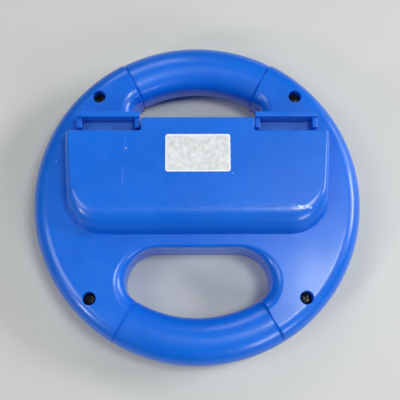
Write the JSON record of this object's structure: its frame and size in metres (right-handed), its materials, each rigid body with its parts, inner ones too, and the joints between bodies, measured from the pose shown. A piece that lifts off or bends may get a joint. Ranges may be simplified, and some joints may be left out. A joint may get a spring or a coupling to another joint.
{
  "type": "steering wheel controller holder",
  "caption": "Round steering-wheel shell with two hand holes and two sprung shoulder triggers; its front bay holds a small slide-rail game controller.",
  "frame": {"origin": "the wheel's axis on the surface that it lies on, front face down", "axes": "+Z out of the wheel's back, +Y towards the upper handle, +X to the right as seen from behind"},
  "size_m": [0.12, 0.12, 0.0278],
  "materials": {
    "shell": "semi-gloss blue moulded ABS",
    "trigger": "semi-gloss blue moulded ABS",
    "tray": "fine matte moulded plastic",
    "screws": "dark oxide",
    "springs": "drawn wire",
    "grip_pads": "soft matte",
    "label": "uncoated blank paper"
  },
  "bodies": {
    "wheel": {"rear_shell": "shell", "front_shell": "shell", "controller_tray": "tray", "left_grip_pad": "grip_pads", "right_grip_pad": "grip_pads", "price_label": "label", "case_screw_upper_left": "screws", "case_screw_upper_right": "screws", "case_screw_lower_left": "screws", "case_screw_lower_right": "screws", "left_trigger_spring_inner": "springs", "left_trigger_spring_outer": "springs", "right_trigger_spring_inner": "springs", "right_trigger_spring_outer": "springs"},
    "left_trigger": {"left_trigger_cap": "trigger", "left_trigger_arm": "tray", "left_trigger_screw": "screws"},
    "right_trigger": {"right_trigger_cap": "trigger", "right_trigger_arm": "tray", "right_trigger_screw": "screws"}
  },
  "joints": [
    {"name": "left_trigger_press", "type": "slide", "parent": "wheel", "child": "left_trigger", "axis": [0, -1, 0], "range_m": [0, 0.0015], "stiffness_N_per_m": 250, "springref_m": -0.002, "deforming": ["left_trigger_spring_inner", "left_trigger_spring_outer"]},
    {"name": "right_trigger_press", "type": "slide", "parent": "wheel", "child": "right_trigger", "axis": [0, -1, 0], "range_m": [0, 0.0015], "stiffness_N_per_m": 250, "springref_m": -0.002, "deforming": ["right_trigger_spring_inner", "right_trigger_spring_outer"]}
  ]
}
